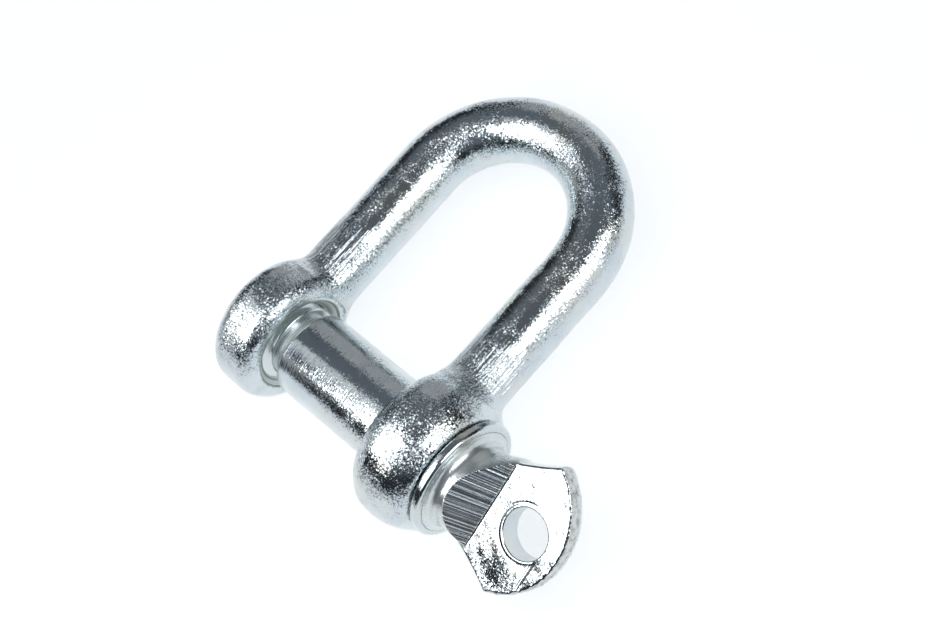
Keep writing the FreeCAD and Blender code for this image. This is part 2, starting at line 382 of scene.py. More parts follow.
def zinc_on_turned_steel(colours):
    """Bright zinc electroplated on a turned and pressed steel screw pin. It is smoother than the
    bow, so the eye sees sharper reflections, with tool rings and press marks showing through."""
    material = bpy.data.materials.new("zinc_plate_on_turned_steel")
    return zinc_plate(material, colours, grain=0.22, slope=0.75, facets=3.6,
                      roughness=(0.07, 0.15))


# The plate's patterns, in millimetres from one mark to the next
CRYSTAL = 0.17      # one facet of the plate, drawn larger than the real ones so that it shows
MOTTLE = 3.2        # thicker and thinner plate
DRIFT = 9.0         # the passivate's colour, from blue to straw
DRAG = 0.42         # drag marks along the bar
PRESS = 1 / 3.1     # press marks on the eye's cheeks
RING = 0.24         # tool rings about the pin's axis
LINE = 0.45         # rings of painted shade where a tool cut deeper
TEAR = 0.8          # bright and dull patches of a torn edge


def zinc_plate(material, colours, grain, slope, facets, roughness):
    """The plate's nodes. grain is its grain in millimetres, slope and facets are how far the grain
    and the crystals tip the surface, and roughness is its least and most. A colour mix has its two
    colours in inputs 6 and 7, and gives output 2."""
    material.use_nodes = True
    tree = material.node_tree
    tree.nodes.clear()
    place = add_node(tree, "TexCoord").outputs["Object"]
    per_mm = 1 / MM
    # where each finish lies on the piece, and how far across its cheek a point is, in millimetres
    drawn, pressed, ringed, smooth, torn, cut, across = (
        add_node(tree, "Attribute", {"attribute_name": name}).outputs["Fac"]
        for name in ("drawn", "pressed", "ringed", "smooth", "torn", "cut", "across"))
    # blasted grain, under a quarter of a millimetre across, with scattered steep pits
    grains = add_node(tree, "TexNoise",
                      {"Scale": per_mm / grain, "Detail": 2.0, "Roughness": 0.7}, Vector=place)
    steep = add_node(tree, "MapRange", {"From Min": 0.50, "From Max": 0.70},
                     Value=grains.outputs["Fac"])
    # plated crystals, each a little facet tipped its own way. Cubing the tip leaves most of them
    # nearly flat and a few steep.
    crystals = add_node(tree, "TexVoronoi", {"Scale": per_mm / CRYSTAL}, Vector=place)
    tip = add_node(tree, "VectorMath", {"operation": "SUBTRACT", 1: (0.5, 0.5, 0.5)},
                   _0=crystals.outputs["Color"])
    squared = add_node(tree, "VectorMath", {"operation": "MULTIPLY"},
                       _0=tip.outputs[0], _1=tip.outputs[0])
    cubed = add_node(tree, "VectorMath", {"operation": "MULTIPLY"},
                     _0=squared.outputs[0], _1=tip.outputs[0])
    # slow mottling where the plate is thicker, and a slower drift of its colour
    mottle = add_node(tree, "TexNoise",
                      {"Scale": per_mm / MOTTLE, "Detail": 4.0, "Roughness": 0.6}, Vector=place)
    tint = add_node(tree, "TexNoise",
                    {"Scale": per_mm / DRIFT, "Detail": 2.0, "Roughness": 0.5}, Vector=place)
    # lengthwise drag marks where the bar was drawn and trimmed
    along = add_node(tree, "Mapping", {"Scale": (1.0, 0.04, 1.0)}, Vector=place)
    drag = add_node(tree, "TexNoise",
                    {"Scale": per_mm / DRAG, "Detail": 2.0, "Roughness": 0.6},
                    Vector=along.outputs[0])
    # press marks on the flattened cheeks, running towards the eye
    press = add_node(tree, "TexNoise",
                     {"noise_dimensions": "1D", "Scale": 1 / PRESS, "Detail": 3.0,
                      "Roughness": 0.75},
                     W=across)
    # tool rings about the pin's axis
    split = add_node(tree, "SeparateXYZ", Vector=place)
    ring = add_node(tree, "TexNoise",
                    {"noise_dimensions": "1D", "Scale": per_mm / RING, "Detail": 2.0},
                    W=split.outputs["X"])

    # the surface: grain and facets first, both calmer where it is smooth, then each set of marks
    calm = add_node(tree, "MapRange", {"To Min": 1.0, "To Max": 0.14},
                    Value=smooth)
    pits = add_node(tree, "Math", {"operation": "MULTIPLY_ADD", 1: 0.35},
                    _0=grains.outputs["Fac"], _2=steep.outputs[0])
    bump_grain = add_node(tree, "Bump", {"Distance": 0.022 * MM}, Height=pits.outputs[0])
    patchy = add_node(tree, "MapRange",
                      {"From Min": 0.36, "From Max": 0.64,
                       "To Min": 0.3 * slope, "To Max": 1.1 * slope},
                      Value=mottle.outputs["Fac"])
    strength = add_node(tree, "Math", {"operation": "MULTIPLY"},
                        _0=patchy.outputs[0], _1=calm.outputs[0])
    tree.links.new(strength.outputs[0], bump_grain.inputs["Strength"])
    sparkle = add_node(tree, "Math", {"operation": "MULTIPLY", 1: facets},
                       _0=strength.outputs[0])
    tipped = add_node(tree, "VectorMath", {"operation": "SCALE"},
                      _0=cubed.outputs[0], Scale=sparkle.outputs[0])
    faceted = add_node(tree, "VectorMath", {"operation": "ADD"},
                       _0=tipped.outputs[0], _1=bump_grain.outputs[0])
    level = add_node(tree, "VectorMath", {"operation": "NORMALIZE"},
                     _0=faceted.outputs[0])
    bump_drag = add_node(tree, "Bump", {"Distance": 0.3 * MM},
                         Height=drag.outputs["Fac"], Strength=drawn,
                         Normal=level.outputs[0])
    bump_press = add_node(tree, "Bump", {"Distance": 0.3 * MM},
                          Height=press.outputs["Fac"], Strength=pressed,
                          Normal=bump_drag.outputs[0])
    bump_ring = add_node(tree, "Bump", {"Distance": 0.11 * MM},
                         Height=ring.outputs["Fac"], Strength=ringed,
                         Normal=bump_press.outputs[0])
    bump_slow = add_node(tree, "Bump", {"Strength": 0.5, "Distance": 0.07 * MM},
                         Height=mottle.outputs["Fac"], Normal=bump_ring.outputs[0])

    # the colour: blue and straw tints of the passivate, then painted shade in pits, press marks and
    # tool rings, a torn edge and a milky film
    cool = add_node(tree, "Mix",
                    {"data_type": "RGBA", 6: linear(colours.zinc), 7: linear(colours.zinc_cool)},
                    _0=mottle.outputs["Fac"])
    warm_share = add_node(tree, "MapRange",
                          {"From Min": 0.52, "From Max": 0.72, "To Max": 0.4},
                          Value=tint.outputs["Fac"])
    warm = add_node(tree, "Mix", {"data_type": "RGBA", 7: linear(colours.zinc_warm)},
                    _0=warm_share.outputs[0], _6=cool.outputs[2])
    # painted shade: the press marks' troughs are painted dark, between bright ridges
    press_shade_share = add_node(tree, "MapRange",
                           {"From Min": 0.59, "From Max": 0.50, "To Max": 0.96},
                           Value=press.outputs["Fac"])
    press_shade_in = add_node(tree, "Math", {"operation": "MULTIPLY"},
                        _0=press_shade_share.outputs[0], _1=pressed)
    press_shaded = add_node(tree, "Mix", {"data_type": "RGBA", 7: linear(colours.scale)},
                      _0=press_shade_in.outputs[0], _6=warm.outputs[2])
    # painted shade: the deepest pits of the grain are painted dark
    pit_shade_share = add_node(tree, "MapRange",
                         {"From Min": 0.36, "From Max": 0.26, "To Max": 0.55},
                         Value=grains.outputs["Fac"])
    pit_shade_in = add_node(tree, "Math", {"operation": "MULTIPLY"},
                      _0=pit_shade_share.outputs[0], _1=strength.outputs[0])
    pit_shaded = add_node(tree, "Mix", {"data_type": "RGBA", 7: linear(colours.scale)},
                      _0=pit_shade_in.outputs[0], _6=press_shaded.outputs[2])
    # a torn edge: bright where the metal was drawn, dull where it broke
    torn_grain = add_node(tree, "TexNoise",
                          {"Scale": per_mm / TEAR, "Detail": 4.0, "Roughness": 0.7}, Vector=place)
    torn_share = add_node(tree, "MapRange",
                          {"From Min": 0.36, "From Max": 0.56, "To Min": 0.5},
                          Value=torn_grain.outputs["Fac"])
    torn_tint = add_node(tree, "Mix",
                         {"data_type": "RGBA", 6: linear(colours.scale),
                          7: linear(colours.sheared)}, _0=torn_share.outputs[0])
    edge = add_node(tree, "Mix", {"data_type": "RGBA"},
                    _0=torn, _6=pit_shaded.outputs[2], _7=torn_tint.outputs[2])
    # cut by a tool rather than forged: a milky, satin surface, with fine rings of painted shade
    # where the tool cut deeper
    milky = add_node(tree, "Mix", {"data_type": "RGBA", 7: linear(colours.zinc_cut)},
                     _0=cut, _6=edge.outputs[2])
    lines = add_node(tree, "TexNoise",
                     {"noise_dimensions": "1D", "Scale": per_mm / LINE, "Detail": 1.0},
                     W=split.outputs["X"])
    # painted shade in the rings, most where the surface was cut
    groove_shade_share = add_node(tree, "MapRange",
                          {"From Min": 0.48, "From Max": 0.40, "To Max": 0.7},
                          Value=lines.outputs["Fac"])
    most_cut = add_node(tree, "MapRange", {"From Min": 0.3, "From Max": 1.0},
                        Value=cut)
    groove_shade_in = add_node(tree, "Math", {"operation": "MULTIPLY"},
                       _0=groove_shade_share.outputs[0], _1=most_cut.outputs[0])
    groove_shaded = add_node(tree, "Mix", {"data_type": "RGBA", 7: linear(colours.scale)},
                     _0=groove_shade_in.outputs[0], _6=milky.outputs[2])
    # the milky film hides part of the metal, and is duller
    bare = add_node(tree, "Math", {"operation": "MULTIPLY_ADD", 1: -0.7, 2: 1.0},
                    _0=cut)
    rough = add_node(tree, "MapRange",
                     {"From Min": 0.3, "From Max": 0.7,
                      "To Min": roughness[0], "To Max": roughness[1]},
                     Value=mottle.outputs["Fac"])
    rough_torn = add_node(tree, "Math", {"operation": "MULTIPLY_ADD", 1: 0.3},
                          _0=torn, _2=rough.outputs[0])
    rough_cut = add_node(tree, "Math", {"operation": "MULTIPLY_ADD", 1: 0.32},
                         _0=cut, _2=rough_torn.outputs[0])
    shader = add_node(tree, "BsdfPrincipled", Metallic=bare.outputs[0],
                      Base_Color=groove_shaded.outputs[2], Roughness=rough_cut.outputs[0],
                      Normal=bump_slow.outputs[0])
    add_node(tree, "OutputMaterial", Surface=shader.outputs[0])
    return material


def matt_board_with_painted_glow(colours):
    """A plain pale matt painted board. It scatters light evenly, so it shows no gloss, and a little
    painted glow, brightest near the middle of the board, keeps the object's shadow faint."""
    near, far_off = 0.105, 0.20                      # metres from the middle of the board
    near_glow, far_glow = 0.66, 0.16
    near_tint, far_tint = (0.97, 0.985, 1.0, 1.0), (0.72, 0.94, 1.12, 1.0)   # scene-linear light
    material = bpy.data.materials.new("matt_white_board_painted_glow")
    material.use_nodes = True
    shader = material.node_tree.nodes["Principled BSDF"]
    shader.inputs["Base Color"].default_value = linear(colours.floor)
    shader.inputs["Roughness"].default_value = 0.9
    shader.inputs["Specular IOR Level"].default_value = 0.0
    # painted light: the glow falls off, and turns cooler, towards the edges of the board
    tree = material.node_tree
    place = add_node(tree, "TexCoord").outputs["Object"]
    far = add_node(tree, "VectorMath", {"operation": "LENGTH"}, _0=place)
    glow = add_node(tree, "MapRange",
                    {"From Min": near, "From Max": far_off, "To Min": near_glow,
                     "To Max": far_glow}, Value=far.outputs["Value"])
    nearness = add_node(tree, "MapRange",
                        {"From Min": far_glow, "From Max": near_glow}, Value=glow.outputs[0])
    tone = add_node(tree, "Mix", {"data_type": "RGBA", 6: far_tint, 7: near_tint},
                    _0=nearness.outputs[0])
    tree.links.new(glow.outputs[0], shader.inputs["Emission Strength"])
    tree.links.new(tone.outputs[2], shader.inputs["Emission Color"])
    return material


# ---- the pieces --------------------------------------------------------------------------------

# Depth of a 60 degree metric thread over its pitch, in a nut and on a bolt
THREAD_INSIDE, THREAD_OUTSIDE = 0.5413, 0.6134


def ear_field(x, rho, inner_x, outer_x, wide_x, band, wide_r, face_r, rounding=0.35):
    """A round boss between two flat faces, its sides as arcs that meet the widest band."""
    side = None
    for centre, face_x in ((wide_x - band / 2, inner_x), (wide_x + band / 2, outer_x)):
        run, rise = abs(centre - face_x), wide_r - face_r
        radius = (run ** 2 + rise ** 2) / (2 * rise)
        away = np.maximum((x - centre) * (1 if face_x > centre else -1), 0)
        part = np.hypot(away, np.maximum(rho - (wide_r - radius), 0)) - radius
        side = part if side is None else np.maximum(side, part)
    return soft_meet(side, np.maximum(inner_x - x, x - outer_x), rounding)


class SHACKLE_OT_bow(bpy.types.Operator):
    """Forges the bow: a round bar bent to a dee, with a plain ear and a threaded ear"""
    bl_idname = "shackle.bow"
    bl_label = "Bow"

    tool_mark = 0.045                   # height of the rings that the countersink's tool left
    flat_edge = 0.3                     # rounding where a leg runs into an ear's flat face
    cell = 0.3                          # of the grid that the forging is drawn on

    def execute(self, context):
        s = context.scene.shackle_sizes
        bar_r, jaw_x = s.bar_d / MM / 2, s.jaw / MM / 2
        leg_x = -BOW_LOW[0] - bar_r
        bend_y = BOW_HIGH[1] - leg_x - bar_r
        wide_x = jaw_x + s.widest / MM
        plain_out, tapped_out = BOW_HIGH[0], jaw_x + s.tapped_t / MM
        plain_r, tapped_r = BOW_HIGH[2], s.tapped_d / MM / 2
        plain_face, tapped_face = s.plain_face_d / MM / 2, s.tapped_face_d / MM / 2
        slow, quick = waves(5, 5.0, 12.0), waves(9, 1.6, 4.0)
        depth, fillet, reach = s.hammering / MM, s.leg_blend / MM, s.soften / MM
        pitch, shank_r = s.pitch / MM, s.shank_d / MM / 2

        def half_depth(y, wide_r):
            """Half of a leg's depth across the bow's plane, which grows as it nears its ear."""
            level = bar_r + fillet
            start = math.sqrt((wide_r + fillet) ** 2 - level ** 2)
            end = start * wide_r / (wide_r + fillet)
            drop = np.clip(start - np.maximum(y, end), 0, fillet)
            return level - np.sqrt(fillet ** 2 - drop ** 2)

        def bow(x, y, z):
            deep = np.where(x > 0, half_depth(y, plain_r), half_depth(y, tapped_r))
            leg = (np.hypot((np.abs(x) - leg_x) / bar_r, z / deep) - 1) * bar_r
            leg = np.hypot(np.maximum(leg + bar_r, 0), np.minimum(y, 0))
            crown = np.hypot(np.hypot(x, y - bend_y) - leg_x, z)
            body = np.where(y < bend_y, leg, crown) - bar_r
            rho = np.hypot(y, z)
            plain = ear_field(x, rho, jaw_x, plain_out, wide_x, s.plain_band / MM, plain_r,
                              plain_face)
            tapped = ear_field(-x, rho, jaw_x, tapped_out, wide_x, s.tapped_band / MM, tapped_r,
                               tapped_face)
            body = soft_join(body, np.minimum(plain, tapped), reach)
            # the die's waves only take metal away, so the forging stays within its frame
            body = body + depth * (1.9 + 0.7 * slow(x, y, z) + 0.35 * quick(x, y, z))
            # each ear's two faces are flat, and nothing of a leg stands on them
            for way, out, face in ((1, plain_out, plain_face), (-1, tapped_out, tapped_face)):
                along = way * x
                inside = np.maximum(rho - face, np.maximum(along - jaw_x, -along))
                body = soft_meet(body, -inside, self.flat_edge)
                body = soft_meet(body, -np.maximum(rho - face, out - along), self.flat_edge)
            return body

        margin = 0.7
        verts, faces = skin(bow, BOW_LOW - margin, BOW_HIGH + margin, self.cell)
        obj = mesh_object("bow_forging", verts, faces)
        # the plain ear's hole, eased at both ends
        hole_r = (s.shank_d / 2 + s.hole_gap) / MM
        combine(obj, turned("bore", [(0, 0), (0, hole_r), (jaw_x - 0.1, hole_r + 0.6),
                                     (jaw_x + 0.5, hole_r), (plain_out - 0.3, hole_r),
                                     (plain_out + 0.5, hole_r + 0.8), (plain_out + 0.5, 0)]),
                "DIFFERENCE")
        # the threaded ear's countersink, with the rings left by the tool, and its thread
        mouth, minor = s.countersink_d / MM / 2, shank_r - pitch * THREAD_INSIDE
        deep, flare, count = mouth - minor, 0.35, 40
        cone = [(0, 0), (0, mouth + flare), (-jaw_x + flare, mouth + flare)]
        for k in range(1, count + 1):
            t = k / count
            ridge = self.tool_mark * math.sin(k * 0.75)
            cone.append((-jaw_x - deep * t + ridge, mouth - deep * t + ridge))
        cone += [(-jaw_x - deep - 1, minor - 0.3), (-tapped_out - 0.3, minor - 0.3),
                 (-tapped_out - 0.3, 0)]
        combine(obj, turned("countersink", cone), "DIFFERENCE")
        combine(obj, screw("tap", -tapped_out - 3, -jaw_x + 3, pitch, shank_r, minor),
                "DIFFERENCE")

        # drag marks on the upper outside of the legs, tool rings and milky plate in the countersink
        x, y, z = points_of(obj)
        rho = np.hypot(y, z)
        on_leg = 1 - smooth_step(np.hypot(np.abs(x) - leg_x - 1, z - 3), 3.2, 5.0)
        set_mask(obj, "drawn", on_leg * smooth_step(y, 7.5, 9.5) * (1 - smooth_step(y, 13.5, 19)))
        set_mask(obj, "ringed", ((rho < mouth + 0.05) & (np.abs(x) < tapped_out)).astype(float))
        set_mask(obj, "smooth", np.maximum(smooth_step(-rho, -mouth - 0.4, -mouth) * 0.9,
                                           smooth_step(y, 12, 18) * 0.35))
        set_mask(obj, "cut", smooth_step(-rho, -mouth - 0.1, -mouth + 0.1) * (x < 0)
                 * (x > -tapped_out + 0.4))
        finish_piece(obj, zinc_on_forged_steel(context.scene.shackle_colours), "bow",
                     ("bow",))
        return {"FINISHED"}


class SHACKLE_OT_pin(bpy.types.Operator):
    """Makes the screw pin: thread, shank, collar, neck and flattened eye"""
    bl_idname = "shackle.pin"
    bl_label = "Screw pin"

    turn, lean = math.radians(30.0), math.radians(4.5)
    # along the eye from the neck's root: waist, start of the flat, corners, hole and round end
    waist, flat_from, corner, hole_at, round_end = 3.3, 5.5, 10.8, 11.5, 17.2
    shift, half_w = 1.05, 10.05         # its middle beside the pin's axis, and half its width
    slope, slope_turn = 1.22, 0.035     # of the cheeks, and how that changes across the eye
    cell = 0.14                         # of the grid that the eye is drawn on

    def execute(self, context):
        s = context.scene.shackle_sizes
        shank_r, neck_r, flare_r = s.shank_d / MM / 2, s.neck_d / MM / 2, s.flare_d / MM / 2
        collar_x, collar_out = COLLAR_LOW[0], COLLAR_HIGH[0]
        collar_r = COLLAR_HIGH[2]
        neck_x = collar_out + 0.04
        eye_x = neck_x + self.flat_from
        half_t = s.blade_t / MM / 2
        tip_x = PIN_LOW[0]
        shank_end, thread_end = -s.jaw / MM / 2 + 1.3, -s.jaw / MM / 2 + 0.1
        major = shank_r - s.thread_gap / MM
        root = major - s.pitch / MM * THREAD_OUTSIDE
        edge, fillet = 0.45, flare_r - neck_r

        # undercut, eased shank end, shank, and collar with its seat for the neck
        profile = [(thread_end - 1.2, 0), (thread_end - 1.2, root - 0.15), (shank_end, root - 0.15),
                   (shank_end, shank_r - 0.85), (shank_end + 0.08, shank_r - 0.75),
                   (shank_end + 0.75, shank_r - 0.05), (shank_end + 0.95, shank_r),
                   (collar_x - 0.25, shank_r), (collar_x, shank_r + 0.2)]
        profile += arc_points(collar_x + edge, collar_r - edge, edge, 180, 90, 7)
        profile += arc_points(collar_out - edge * 1.2, collar_r - edge * 1.2, edge * 1.2, 90, 0, 7)
        seat = 0.12
        profile += [(collar_out, flare_r + seat), (collar_out - seat, flare_r),
                    (collar_out - seat, 0)]
        obj = turned("shaft", profile)
        combine(obj, self.thread(s, tip_x, thread_end, major, root), "UNION")
        combine(obj, self.eye(neck_x, eye_x, neck_r, fillet, half_t, s.hole_d / MM / 2), "UNION")
        obj.name = obj.data.name = "screw_pin_with_collar"

        x, y, z = points_of(obj)
        u, w, n = self.to_eye(x, y, z, eye_x)
        rho = np.hypot(y, z)
        # press marks on the cheeks, whose troughs get painted shade
        plane = np.abs(n) - (half_t + (eye_x - u) * (self.slope - self.slope_turn * w))
        on_cheek = (1 - smooth_step(np.abs(plane), 0.1, 0.3)) \
            * smooth_step(np.abs(n), half_t, half_t + 0.2)
        set_mask(obj, "pressed", on_cheek * (x > neck_x + 1))
        set_mask(obj, "across", w)
        # tool rings, plainest on the shank's eased end
        past_thread, before_shank = x > thread_end, x < shank_end + 0.85
        set_mask(obj, "ringed", 0.12 * past_thread * (x < eye_x) * (1 - on_cheek)
                 + 0.6 * past_thread * (x < shank_end + 0.9))
        # smooth: the thread, and from the collar's outer side to the eye, less where that droops
        turned_part = 0.85 * smooth_step(x, neck_x - 1.6, neck_x - 1.4)
        set_mask(obj, "smooth",
                 (turned_part + 0.15 * (u > eye_x)) * (1 - 0.55 * self.droop(u - neck_x, w))
                 + (x < shank_end + 1.0) * (1 - 0.6 * (x < tip_x + 0.2)))
        # the round end's edge is torn over the half of its thickness nearer the upper face
        set_mask(obj, "torn",
                 smooth_step(np.hypot(u - (neck_x + 6.1), w - self.shift), 10.2, 10.8)
                 * (x > eye_x + 4) * (n < half_t - 0.15) * smooth_step(n, -0.6, 0.0))
        set_mask(obj, "drawn", np.zeros(len(x)))
        # milky plate on the thread, most on the shank's eased end, and some on the neck
        on_neck = (x > neck_x - 0.1) * (rho > neck_r - 0.3) * (1 - on_cheek)
        set_mask(obj, "cut", 0.3 * before_shank + 0.65 * past_thread * before_shank
                 + 0.4 * on_neck * (1 - smooth_step(x, eye_x - 0.5, eye_x + 1.0)))
        finish_piece(obj, zinc_on_turned_steel(context.scene.shackle_colours), "screw_pin",
                     ("screw_pin", "pin_collar"))
        return {"FINISHED"}

    def to_eye(self, x, y, z, eye_x):
        """From the frame to the eye's own length, width and height above its middle plane."""
        w = y * math.cos(self.turn) + z * math.sin(self.turn)
        n = -y * math.sin(self.turn) + z * math.cos(self.turn)
        u = eye_x + (x - eye_x) * math.cos(self.lean) - w * math.sin(self.lean)
        return u, (x - eye_x) * math.sin(self.lean) + w * math.cos(self.lean), n

    def droop(self, along, w):
        """How far the eye's lower corner droops, from 0 to 1, that far past the neck's root."""
        return smooth_step(-w, 3.0, 8.2) * np.exp(-((along - self.corner + 0.8) / 2.7) ** 2)

    def thread(self, s, tip_x, end_x, major, root):
        """The thread, chamfered at its tip and run out at its other end."""
        rod = screw("thread", tip_x - 4, end_x + 4, s.pitch / MM, major, root)
        blank = turned("blank", [(tip_x, 0), (tip_x, major - 1.05), (tip_x + 0.12, major - 0.93),
                                 (tip_x + 1.0, major + 0.05), (end_x - 0.45, major + 0.05),
                                 (end_x, major - 0.4), (end_x, 0)])
        return combine(rod, blank, "INTERSECT")

    def eye(self, neck_x, eye_x, neck_r, fillet, half_t, hole_r):
        """The neck with its fillet, pressed flat into a blade with two corners and a round end."""
        corner_u, waist_u, end_u = (neck_x + a for a in (self.corner, self.waist, self.round_end))
        shift, half_w, hole_u = self.shift, self.half_w, neck_x + self.hole_at
        low, high = shift - half_w, shift + half_w
        hollow = 0.25                   # how far the eye's two sides curve in
        side_u, side_w = (corner_u + waist_u) / 2, (half_w + neck_r) / 2 - hollow
        outline = arc_through((waist_u, neck_r), (side_u, shift / 2 + side_w), (corner_u, high), 8)
        outline += arc_through((corner_u, high), (end_u, shift), (corner_u, low), 40)[1:]
        outline += arc_through((corner_u, low), (side_u, shift / 2 - side_w), (waist_u, -neck_r),
                               8)[1:]
        outline = round_corners(outline, 0.8)
        slow, quick, tear = waves(21, 4.0, 9.0), waves(23, 1.2, 3.0), waves(27, 0.5, 1.4)
        lean, turn = self.lean, self.turn

        def body(u, w, n):
            x = eye_x + (u - eye_x) * math.cos(lean) + w * math.sin(lean)
            across = -(u - eye_x) * math.sin(lean) + w * math.cos(lean)
            # the neck, with its fillet, spreads towards the eye's longer side
            foot = np.clip(neck_x + fillet - x, 0, fillet)
            radius = neck_r + fillet - np.sqrt(fillet ** 2 - foot ** 2)
            spread = 1 + 0.22 * smooth_step(u, waist_u - 1.5, eye_x) * (across > 0)
            neck = np.maximum(np.hypot(across / spread, n) - radius, neck_x - 0.6 - x)
            # two sloping cheeks cut it down to the blade's thickness
            slope = self.slope - self.slope_turn * w
            wedge = (np.abs(n) - (half_t + (eye_x - u) * slope)) / np.hypot(slope, 1)
            neck = soft_meet(neck, wedge, 0.12)
            neck = np.maximum(neck, u - eye_x - 1.0)
            # the upper face droops at its lower corner, has a crease by it, and has a groove and a
            # burr round its hole
            edge = distance_inside(outline, u, w)
            crease = np.exp(-((u - corner_u - 3.6) / 0.15) ** 2) * smooth_step(-w, 0.6, 1.4) \
                * (1 - smooth_step(-w, 5.0, 6.0))
            from_hole = np.hypot(u - hole_u, w - shift) - hole_r
            groove = np.exp(-((from_hole - 0.65) / 0.14) ** 2) * smooth_step(hole_u - u, 0.0, 2.0)
            burr = np.exp(-((from_hole - 0.2) / 0.22) ** 2)
            sink = (0.14 * self.droop(u - neck_x, w) + 0.08 * crease + 0.045 * groove
                    - 0.04 * burr) * (n > 0)
            flat = np.abs(n) - half_t + sink + 0.02 * slow(u, w, n)
            # its edge is rounded, most below
            back = np.where(n < 0, 1.3, 0.35)
            rim = np.hypot(np.maximum(edge + back, 0), np.maximum(flat + back, 0)) \
                + np.minimum(np.maximum(edge + back, flat + back), 0) - back
            blade = soft_join(neck, rim, 0.25)
            blade = soft_meet(blade, -from_hole, 0.22)
            # the trimmed edge is torn
            rough = smooth_step(u, corner_u - 1, corner_u + 1) * smooth_step(edge, -0.5, -0.1)
            return blade + 0.008 * (1 + quick(u, w, n)) + rough * 0.07 * (0.6 + tear(u, w, n))

        low_corner = np.array([neck_x - 1.2, low - 0.8, -neck_r - fillet - 0.6])
        high_corner = np.array([end_u + 0.8, high + 0.8, neck_r + fillet + 0.6])
        points, faces = skin(body, low_corner, high_corner, self.cell)
        u, w, n = points.T
        x = eye_x + (u - eye_x) * math.cos(lean) + w * math.sin(lean)
        across = -(u - eye_x) * math.sin(lean) + w * math.cos(lean)
        points = np.stack([x, across * math.cos(turn) - n * math.sin(turn),
                           across * math.sin(turn) + n * math.cos(turn)], 1)
        return mesh_object("eye", points, faces)


def arc_through(start, middle, end, count):
    """Points on the arc through three points, that many steps apart."""
    (ax, ay), (bx, by), (cx, cy) = start, middle, end
    d = 2 * (ax * (by - cy) + bx * (cy - ay) + cx * (ay - by))
    x = ((ax ** 2 + ay ** 2) * (by - cy) + (bx ** 2 + by ** 2) * (cy - ay)
         + (cx ** 2 + cy ** 2) * (ay - by)) / d
    y = ((ax ** 2 + ay ** 2) * (cx - bx) + (bx ** 2 + by ** 2) * (ax - cx)
         + (cx ** 2 + cy ** 2) * (bx - ax)) / d
    a, b, c = (math.atan2(q - y, p - x) for p, q in (start, middle, end))
    sweep = (c - a) % (2 * math.pi)
    if (b - a) % (2 * math.pi) > sweep:
        sweep -= 2 * math.pi
    r = math.hypot(ax - x, ay - y)
    return [(x + r * math.cos(a + sweep * k / count), y + r * math.sin(a + sweep * k / count))
            for k in range(count + 1)]


def round_corners(outline, radius, sharpest=0.7):
    """The closed outline with its sharp corners cut to short curves. A corner is sharp if it turns
    more than that, in radians. The two by the neck lie inside the metal and stay as they are."""
    result = []
    total = len(outline)
    for i, here in enumerate(outline):
        before, after = np.array(outline[i - 1]), np.array(outline[(i + 1) % total])
        here = np.array(here)
        into, out = here - before, after - here
        bend = abs(math.atan2(into[0] * out[1] - into[1] * out[0], into @ out))
        if bend < sharpest or abs(here[0] - outline[0][0]) < 1e-6:
            result.append(tuple(here))
            continue
        reach = radius * math.tan(bend / 2)
        a, b = here - into / np.linalg.norm(into) * reach, here + out / np.linalg.norm(out) * reach
        for t in np.linspace(0, 1, 7):
            result.append(tuple((1 - t) ** 2 * a + 2 * t * (1 - t) * here + t ** 2 * b))
    return result


def distance_inside(outline, u, w):
    """Signed distance from a closed outline, negative inside."""
    nearest, turns = None, 0
    for (ax, ay), (bx, by) in zip(outline, outline[1:] + outline[:1]):
        ex, ey = bx - ax, by - ay
        t = np.clip(((u - ax) * ex + (w - ay) * ey) / (ex * ex + ey * ey + 1e-12), 0, 1)
        gap = (u - ax - t * ex) ** 2 + (w - ay - t * ey) ** 2
        nearest = gap if nearest is None else np.minimum(nearest, gap)
        left = ex * (w - ay) - ey * (u - ax)
        turns = turns + ((ay <= w) & (by > w) & (left > 0)).astype(int) \
            - ((ay > w) & (by <= w) & (left < 0)).astype(int)
    return np.sqrt(nearest) * np.where(turns != 0, -1, 1)


# ---- stage -------------------------------------------------------------------------------------

